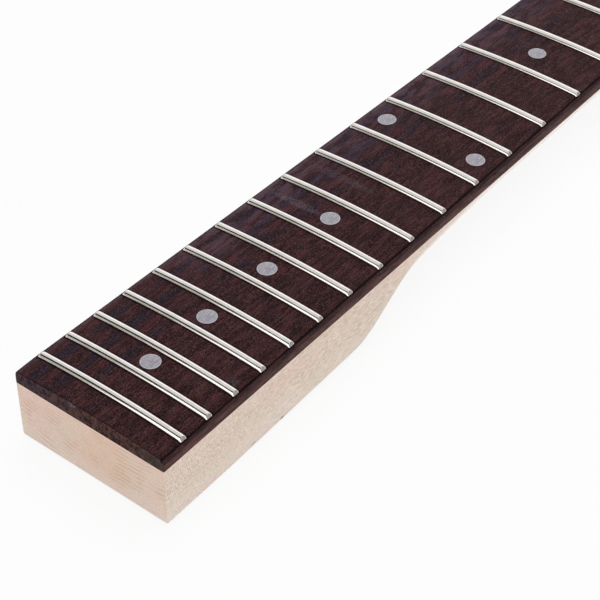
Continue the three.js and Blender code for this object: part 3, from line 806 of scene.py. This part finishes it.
def neck_back(x):
    along = (x - SEAT_END_X - DEPTH_RUNOUT) / (NUT_X - SEAT_END_X - DEPTH_RUNOUT)
    shaft = CROWN_Z - lerp(SHAFT_DEPTH_AT_HEEL, SHAFT_DEPTH_AT_NUT, along)
    to_head = ramp(x, HEAD_CARVE_X, HEAD_CARVE_LENGTH)
    carved = shaft * ramp(x, SEAT_END_X, DEPTH_RUNOUT) * (1 - to_head)
    return carved + inset(x - HEEL_END_X, HEEL_BACK_ROUND)


def neck_ring(x):
    top, back = neck_top(x), neck_back(x)
    to_head = ramp(x, HEAD_CARVE_X, HEAD_CARVE_LENGTH)
    past_end = x - HEEL_END_X
    along_seat = clamp((past_end - EDGE_WIDENS_AFTER) / (HEEL_SEAT_LENGTH - EDGE_WIDENS_AFTER), 0, 1)
    edge = lerp(lerp(HEEL_END_EDGE, SEAT_END_EDGE, along_seat), HEAD_EDGE, to_head)
    across_share = ramp(x, SEAT_END_X, BACK_RUNOUT) * (1 - to_head)
    slim = ramp(x, SHOULDER_FROM_X, SHOULDER_RUNOUT) * (1 - to_head)
    depth = top - back - lerp(SIDE_LAND, SLIM_LAND, slim)
    up = lerp(edge, depth, ramp(x, SEAT_END_X, SIDE_RUNOUT) * (1 - to_head))
    glue_edge = lerp(GLUE_EDGE, HEAD_EDGE, ramp(x, LEDGE_END_X, HEAD_CARVE_END_X - LEDGE_END_X))
    if x < BOARD_END_X:
        halves = (half_width(x), half_width(x))
    else:
        halves = (bass_edge(x), -treble_edge(x))
    sides = []
    for side, half in zip((1, -1), halves):
        upper_edge = rounding(glue_edge, quarter_turn(GLUE_EDGE_STEPS))
        points = [(x, side * (half - drawn), top - down) for drawn, down in upper_edge]
        # The shaft's section is between a half ellipse and one arc, so its shoulders turn in sooner
        across = lerp(edge, half, across_share)
        radius = (across**2 + up**2) / (2 * up)
        for i, angle in enumerate(quarter_turn(BACK_STEPS)):
            turn = math.asin(min(across / radius, 1)) * (1 - i / BACK_STEPS)
            out = lerp(across * math.cos(angle), radius * math.sin(turn), slim * SHOULDER_CUT)
            arc_down = radius * math.cos(turn) - radius + up
            down = lerp(up * math.sin(angle), arc_down, slim * SHOULDER_CUT)
            points.append((x, side * (half - across + out), back + up - down))
        sides.append(points)
    return sides[0] + sides[1][::-1]


def neck_holes(top, rod_z):
    """The open slot before the truss rod, the post holes and the screws' pilot holes."""
    start, middle = NUT_X - ACCESS_BEFORE_NUT, NUT_X + ACCESS_PAST_NUT
    turn = [math.pi / 2 - a for a in half_turn(ACCESS_STEPS)]
    slot = [(start, -ACCESS_RADIUS), (start, ACCESS_RADIUS)]
    slot += [(middle + ACCESS_RADIUS * math.cos(a), ACCESS_RADIUS * math.sin(a)) for a in turn]
    holes = [loft("access", [[(x, y, z) for x, y in slot] for z in (rod_z - ACCESS_RADIUS, top)])]
    bore = [(POST_RADIUS + POST_LIP, -OVERRUN)]
    bore += [(POST_RADIUS + out, z) for out, z in rounding(POST_LIP, LIP_ANGLES)]
    bore += [(r, HEADSTOCK_THICKNESS - z) for r, z in reversed(bore)]
    for x, y in posts:
        holes.append(lathe("post", bore, HOLE_SIDES, at(x, y)))
    mouth = PILOT_RADIUS + PILOT_MOUTH
    pilot = [(mouth, -OVERRUN), (mouth, 0), (PILOT_RADIUS, PILOT_MOUTH), (PILOT_RADIUS, PILOT_DEPTH)]
    for x in (-SCREW_PATTERN_LENGTH / 2, SCREW_PATTERN_LENGTH / 2):
        for y in (-SCREW_PATTERN_WIDTH / 2, SCREW_PATTERN_WIDTH / 2):
            holes.append(lathe("pilot", pilot, PILOT_SIDES, at(x, y)))
    return holes


def make_neck():
    corner_end = HEEL_END_X + CORNER_RADIUS
    places = stations(
        (HEEL_END_X, corner_end, CORNER_STEPS),
        (corner_end, SEAT_END_X, SEAT_STEPS),
        (SEAT_END_X, SEAT_END_X + DEPTH_RUNOUT, RUNOUT_STEPS),
        (SEAT_END_X + DEPTH_RUNOUT, HEAD_CARVE_X, RUNOUT_STEPS),
        (HEAD_CARVE_X, HEAD_CARVE_END_X, RUNOUT_STEPS),
        (LEDGE_END_X, LEDGE_END_X + SCOOP_LENGTH, SCOOP_STEPS),
    )
    places.append(HEAD_CARVE_END_X + BLANK_INTO_HEAD)
    neck = loft("maple_neck", [neck_ring(x) for x in places])
    combine(neck, [headstock_plate()], "UNION")
    rod_z = HEEL_THICKNESS - ROD_BELOW_BOARD
    top = HEEL_THICKNESS + OVERRUN
    low = (HEEL_END_X + CHANNEL_TO_HEEL_END, -CHANNEL_HALF_WIDTH, rod_z - CHANNEL_BELOW_ROD)
    high = (NUT_X - ACCESS_BEFORE_NUT, CHANNEL_HALF_WIDTH, top)
    combine(neck, [box("channel", low, high)], "DIFFERENCE")
    combine(neck, neck_holes(top, rod_z), "DIFFERENCE")
    finish(neck, "neck", maple, ["neck"])


make_neck()


# Fingerboard
def board_ring(x):
    half = half_width(x)
    drop = inset(x - HEEL_END_X, CORNER_RADIUS)
    worn = (1 - clamp((x - HEEL_END_X) / HEEL_ROLL_LENGTH, 0, 1)) ** 2
    bass_roll = [lerp(a, b, worn) for a, b in zip(BASS_ROLL, BASS_ROLL_AT_HEEL)]
    points = []
    for side, (width, depth) in ((1, bass_roll), (-1, TREBLE_ROLL)):
        flat = half - width
        edge_z = CROWN_Z - sag(flat) - drop
        part = [(side * (half - BOARD_FOOT), HEEL_THICKNESS), (side * half, HEEL_THICKNESS + BOARD_FOOT)]
        for angle in quarter_turn(ROLL_STEPS):
            part.append((side * (flat + width * math.cos(angle)), edge_z - depth * (1 - math.sin(angle))))
        points.append(part)
    across = between(half - bass_roll[0], TREBLE_ROLL[0] - half, RADIUS_STEPS)[1:-1]
    arc = [(y, CROWN_Z - sag(y) - drop) for y in across]
    return [(x, y, z) for y, z in points[0] + arc + points[1][::-1]]


def arc_rings(outline, reach, lift):
    """Copies of an outline in X and Z that follow the fingerboard's curve across it."""
    rings = []
    for share in between(-1, 1, ACROSS_STEPS):
        rings.append([(x, share * reach(z), z + lift - sag(share * reach(z))) for x, z in outline])
    return rings


def marker_rows(fret, first, second, shift):
    """The names and shifts of a fret's markers: one in the middle, or a pair at the octave."""
    if fret % FRETS_PER_OCTAVE:
        return [(f"{fret:02d}", 0)]
    return [(f"{fret:02d}_{first}", shift), (f"{fret:02d}_{second}", -shift)]


marker_places = []
side_marker_places = []
for fret in MARKER_FRETS:
    middle = (fret_x(fret) + fret_x(fret - 1)) / 2
    for name, y in marker_rows(fret, "bass", "treble", DOUBLE_MARKER_SPACING / 2):
        tilt = Matrix.Rotation(-math.asin(y / BOARD_RADIUS), 4, "X")
        marker_places.append((name, at(middle, y, CROWN_Z - sag(y)) @ tilt))
    for name, shift in marker_rows(fret, "a", "b", -SIDE_PAIR_SHIFT):
        x = middle + shift
        tilt = Matrix.Rotation(-math.atan(SIDE_TAPER), 4, "Z") @ Matrix.Rotation(-math.pi / 2, 4, "X")
        place = at(x, half_width(x), HEEL_THICKNESS + SIDE_MARKER_HEIGHT) @ tilt
        side_marker_places.append((name, place))


def pockets(places, radius, depth, sides):
    profile = [(radius + MARKER_CLEARANCE, -depth - MARKER_CLEARANCE), (radius + MARKER_CLEARANCE, OVERRUN)]
    return [lathe("pocket", profile, sides, place) for _, place in places]


def make_fingerboard():
    corner_end = HEEL_END_X + CORNER_RADIUS
    places = stations(
        (HEEL_END_X, corner_end, BOARD_CORNER_STEPS),
        (corner_end, BOARD_END_X, BOARD_STEPS),
        (corner_end, HEEL_END_X + HEEL_ROLL_LENGTH, HEEL_ROLL_STEPS),
    )
    board = loft("fingerboard_blank", [board_ring(x) for x in places])
    slot_half = TANG_WIDTH / 2 + SLOT_CLEARANCE
    slot = rectangle(-slot_half, slot_half, -TANG_DEPTH - SLOT_SPARE_DEPTH, OVERRUN)
    cutters = []
    for n in range(1, FRET_COUNT + 1):
        half = half_width(fret_x(n)) - TANG_SETBACK + SLOT_CLEARANCE
        cutters.append(loft("slot", arc_rings(slot, lambda z: half, 0), at(fret_x(n), 0, CROWN_Z)))
    low = (NUT_X - NUT_CLEARANCE, -NUT_END_WIDTH, HEEL_THICKNESS + NUT_FLOOR)
    high = (NUT_X + NUT_THICKNESS + NUT_CLEARANCE, NUT_END_WIDTH, CROWN_Z + OVERRUN)
    cutters.append(box("nut_slot", low, high))
    cutters += pockets(marker_places, MARKER_RADIUS, MARKER_THICKNESS, HOLE_SIDES)
    cutters += pockets(side_marker_places, SIDE_MARKER_RADIUS, SIDE_MARKER_LENGTH, SIDE_POCKET_SIDES)
    combine(board, cutters, "DIFFERENCE")
    finish(board, "neck", rosewood, ["fingerboard"], sharp=35)


make_fingerboard()


# Markers
def disc_profile(radius, depth):
    """A disc with a softened rim and a faint dome, its face at height 0."""
    profile = [(radius - DOT_CHAMFER, -depth), (radius, -depth + DOT_CHAMFER), (radius, -DOT_RIM)]
    for a in RIM_ANGLES:
        profile.append((radius - DOT_RIM * (1 - math.cos(a)), -DOT_RIM * (1 - math.sin(a))))
    return profile + [(radius * share, DOT_DOME * (1 - share * share)) for share in DOME_SHARES]


for name, place in marker_places:
    dot = lathe(f"dot_{name}", disc_profile(MARKER_RADIUS, MARKER_THICKNESS), MARKER_SIDES, place)
    finish(dot, "neck", pearl, [f"marker_{name}"], sharp=60)
side_profile = disc_profile(SIDE_MARKER_RADIUS, SIDE_MARKER_LENGTH)
for name, place in side_marker_places:
    dot = lathe(f"side_dot_{name}", side_profile, SIDE_MARKER_SIDES, place)
    finish(dot, "neck", side_pearl, [f"side_marker_{name}"], sharp=60)


# Frets
def make_fret(n):
    half = half_width(fret_x(n))
    crown_half = CROWN_WIDTH / 2
    dome = [(-crown_half * math.cos(a), CROWN_HEIGHT * math.sin(a)) for a in half_turn(CROWN_STEPS)]
    place = at(fret_x(n), 0, CROWN_Z)

    def reach(z):
        return half - FRET_END_INSET - z * FRET_END_SLOPE

    def tip(x, z, share, narrow):
        return x * narrow, share * reach(z), z + FRET_SEAT_GAP - sag(share * reach(z))

    # Towards each end the crown's corners are rounded in plan
    tips = []
    for step in FRET_CORNER_SHARES:
        share = 1 - step * FRET_CORNER_LENGTH / half
        narrow = 1 - inset(step * FRET_CORNER, FRET_CORNER) / crown_half
        tips.append([tip(x, z, share, narrow) for x, z in dome])
    far_tips = [[(x, -y, z) for x, y, z in ring] for ring in tips]
    rings = far_tips + arc_rings(dome, reach, FRET_SEAT_GAP)[1:-1] + tips[::-1]
    crown = loft(f"fret_wire_{n:02d}", rings, place)
    # The two end faces are the only ones with more than four corners, and get a soft rim
    edit = bmesh.new()
    edit.from_mesh(crown.data)
    rim = [edge for edge in edit.edges if any(len(face.verts) > 4 for face in edge.link_faces)]
    bmesh.ops.bevel(
        edit, geom=rim, offset=FRET_RIM * MM, segments=FRET_RIM_STEPS,
        profile=0.5, affect="EDGES", clamp_overlap=True,
    )
    edit.to_mesh(crown.data)
    edit.free()
    outline = rectangle(-TANG_WIDTH / 2, TANG_WIDTH / 2, -TANG_DEPTH, TANG_INTO_CROWN)
    tang = loft("tang", arc_rings(outline, lambda z: half - TANG_SETBACK, FRET_SEAT_GAP), place)
    combine(crown, [tang], "UNION")
    finish(crown, "neck", nickel, [f"fret_{n:02d}"], sharp=40)


for n in range(1, FRET_COUNT + 1):
    make_fret(n)


# String nut, in its slot
def nut_ring(y, half, base):
    top = base - sag(y) - inset(half - abs(y), NUT_END_ROUND)
    floor = HEEL_THICKNESS + NUT_FLOOR
    back_top = top - NUT_BACK_DROP
    points = [(0, floor), (NUT_THICKNESS, floor), (NUT_THICKNESS, back_top - NUT_BACK_EDGE)]
    points += [(NUT_THICKNESS - NUT_EDGE, back_top), (NUT_CREST, top), (NUT_EDGE, top), (0, top - NUT_EDGE)]
    return [(NUT_X + x, y, z) for x, z in points]


def make_string_nut():
    half = half_width(NUT_X + NUT_THICKNESS) - NUT_CLEARANCE
    base = CROWN_Z + NUT_RISE
    places = set(between(-half, half, ACROSS_STEPS))
    places |= {side * (half - into) for side in (1, -1) for into in NUT_END_PLACES}
    nut = loft("bone_nut", [nut_ring(y, half, base) for y in sorted(places)])
    ends = (NUT_X - OVERRUN, NUT_X + NUT_THICKNESS + OVERRUN)
    grooves = []
    for i in range(STRING_COUNT):
        y = string_y(i)
        radius = lerp(BASS_GROOVE_WIDTH, TREBLE_GROOVE_WIDTH, i / (STRING_COUNT - 1)) / 2
        floor = base - sag(y) - GROOVE_DEPTH
        turn = [math.pi + a for a in half_turn(GROOVE_STEPS)]
        outline = [(y + radius * math.cos(a), floor + radius + radius * math.sin(a)) for a in turn]
        outline += [(y + radius, floor + GROOVE_CUT_HEIGHT), (y - radius, floor + GROOVE_CUT_HEIGHT)]
        grooves.append(loft("groove", [[(x, b, z) for b, z in outline] for x in ends]))
    combine(nut, grooves, "DIFFERENCE")
    finish(nut, "neck", bone, ["string_nut"])


make_string_nut()

# The truss rod's own nodes keep their shape
ROD_MATERIALS = {
    "truss_bar": steel,
    "heel_block": brass,
    "head_block": brass,
    "truss_rod": steel,
    "adjusting_nut": steel,
}
for name, material in ROD_MATERIALS.items():
    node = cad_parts[name]
    node.data.materials.clear()
    node.data.materials.append(material)


# Studio: a pale floor that keeps the shadow, a white surround, and soft lamps
FLOOR_REACH = 3000
FLOOR_BELOW_HEEL = 0.0006
FLOOR_COLOR = (0.86, 0.86, 0.86, 1)
FLOOR_WHITENESS = 0.88
ROOM_COLOR = (0.97, 0.98, 1.0, 1)
ROOM_STRENGTH = 0.45
LAMP_TARGET = Vector((0.12, 0, 0.01))


def seen_rays(tree):
    """1 for what the camera sees, directly or through metal and glass, and 0 for other light."""
    path = tree.nodes.new("ShaderNodeLightPath")
    seen = path.outputs["Is Camera Ray"]
    for name in ("Is Glossy Ray", "Is Transmission Ray"):
        node = tree.nodes.new("ShaderNodeMath")
        node.operation = "MAXIMUM"
        tree.links.new(seen, node.inputs[0])
        tree.links.new(path.outputs[name], node.inputs[1])
        seen = node.outputs[0]
    return seen


def blend_shaders(tree, share, first, second, output):
    mix = tree.nodes.new("ShaderNodeMixShader")
    for socket, value in zip(mix.inputs, (share, first.outputs[0], second.outputs[0])):
        tree.links.new(value, socket)
    tree.links.new(mix.outputs[0], output.inputs[0])


def make_floor():
    """Seen directly or mirrored it is white, with a share of the real shading left."""
    corners = [(x, y, 0) for x, y in rectangle(-FLOOR_REACH, FLOOR_REACH, -FLOOR_REACH, FLOOR_REACH)]
    floor = make_object("floor", corners, [(0, 1, 2, 3)])
    floor.location.z = -FLOOR_BELOW_HEEL
    material, output = bare_material("pale_floor")
    tree = material.node_tree
    shading = tree.nodes.new("ShaderNodeBsdfDiffuse")
    shading.inputs["Color"].default_value = FLOOR_COLOR
    weight = tree.nodes.new("ShaderNodeMath")
    weight.operation = "MULTIPLY"
    weight.inputs[1].default_value = FLOOR_WHITENESS
    tree.links.new(seen_rays(tree), weight.inputs[0])
    glow = tree.nodes.new("ShaderNodeEmission")
    blend_shaders(tree, weight.outputs[0], shading, glow, output)
    floor.data.materials.append(material)


def make_surround():
    world = bpy.data.worlds.new("surround")
    bpy.context.scene.world = world
    world.use_nodes = True
    tree = world.node_tree
    tree.nodes.clear()
    room = tree.nodes.new("ShaderNodeBackground")
    room.inputs[0].default_value = ROOM_COLOR
    room.inputs[1].default_value = ROOM_STRENGTH
    white = tree.nodes.new("ShaderNodeBackground")
    white.inputs[0].default_value = (1, 1, 1, 1)
    output = tree.nodes.new("ShaderNodeOutputWorld")
    blend_shaders(tree, seen_rays(tree), room, white, output)


def softbox(name, direction, distance, width, height, power):
    lamp = bpy.data.lights.new(name, "AREA")
    lamp.shape = "RECTANGLE"
    lamp.size = width
    lamp.size_y = height
    lamp.energy = power
    obj = bpy.data.objects.new(name, lamp)
    bpy.context.scene.collection.objects.link(obj)
    aim = Vector(direction).normalized()
    obj.location = LAMP_TARGET + aim * distance
    obj.rotation_euler = aim.to_track_quat("Z", "Y").to_euler()
    obj.visible_glossy = False


make_floor()
make_surround()
softbox("overhead", (0.25, 0.1, 1.0), 1.5, 1.6, 1.6, 15)
softbox("left", (-0.9, 0.25, 0.35), 1.5, 1.2, 0.9, 4)
softbox("front", (-0.4, -0.95, 0.17), 1.8, 1.0, 0.5, 9)


# Cards that only polished metal mirrors: they shape the streaks along the frets
CARD_FOOT_Z = 5
CARD_TOP_Z = 600
OVERHEAD_Z = 440
DARK_COLOR = (0.5, 0.6, 0.5, 1)
DARK_STRENGTH = 0.03


def card(name, corners, color, strength):
    panel = make_object(name, corners, [(0, 1, 2, 3)])
    material, output = bare_material(name)
    glow = material.node_tree.nodes.new("ShaderNodeEmission")
    glow.inputs[0].default_value = color
    glow.inputs[1].default_value = strength
    material.node_tree.links.new(glow.outputs[0], output.inputs[0])
    panel.data.materials.append(material)
    for kind in ("camera", "diffuse", "shadow", "transmission", "volume_scatter"):
        setattr(panel, f"visible_{kind}", False)


def level(left, right, near, far, z=OVERHEAD_Z):
    return [(x, y, z) for x, y in rectangle(left, right, near, far)]


def upright(x, near, far):
    return [(x, y, z) for y, z in rectangle(near, far, CARD_FOOT_Z, CARD_TOP_Z)]


card("overhead_panel", level(-80, 440, -1000, 1500), (0.98, 1.0, 0.98, 1), 0.76)
card("bright_end", level(440, 1600, -1000, 1500), (1.0, 1.0, 1.0, 1), 1.15)
card("dark_gap", level(-290, -80, -1000, 1500), DARK_COLOR, DARK_STRENGTH)
card("wider_gap", level(-390, -45, 255, 1500, OVERHEAD_Z - 2), DARK_COLOR, DARK_STRENGTH)
card("front_panel", upright(-500, -1200, 310), (1.0, 0.98, 0.93, 1), 1.5)
card("side_panel", upright(-500, 310, 1500), (1.0, 1.0, 0.9, 1), 0.48)
low_panel = [(x, -900, z) for x, z in rectangle(-300, 1600, CARD_FOOT_Z, CARD_TOP_Z)]
card("low_panel", low_panel, (1.0, 0.95, 0.92, 1), 0.36)

# Camera, fitted to the photograph
CAMERA_PLACE = (-0.277979, -0.264568, 0.375930)
CAMERA_RIGHT = Vector((0.62499, -0.78063, -0.00045))
CAMERA_UP = Vector((0.51670, 0.41325, 0.74983))
CAMERA_BACK = CAMERA_RIGHT.cross(CAMERA_UP).normalized()
lens = bpy.data.cameras.new("camera")
lens.lens = 108.68
lens.sensor_width = 36
camera = bpy.data.objects.new("camera", lens)
axes = Matrix((CAMERA_RIGHT, CAMERA_UP, CAMERA_BACK)).transposed().to_4x4()
camera.matrix_world = Matrix.Translation(CAMERA_PLACE) @ axes
bpy.context.scene.collection.objects.link(camera)
bpy.context.scene.camera = camera
bpy.context.scene.view_settings.view_transform = "Standard"

bpy.context.view_layer.update()
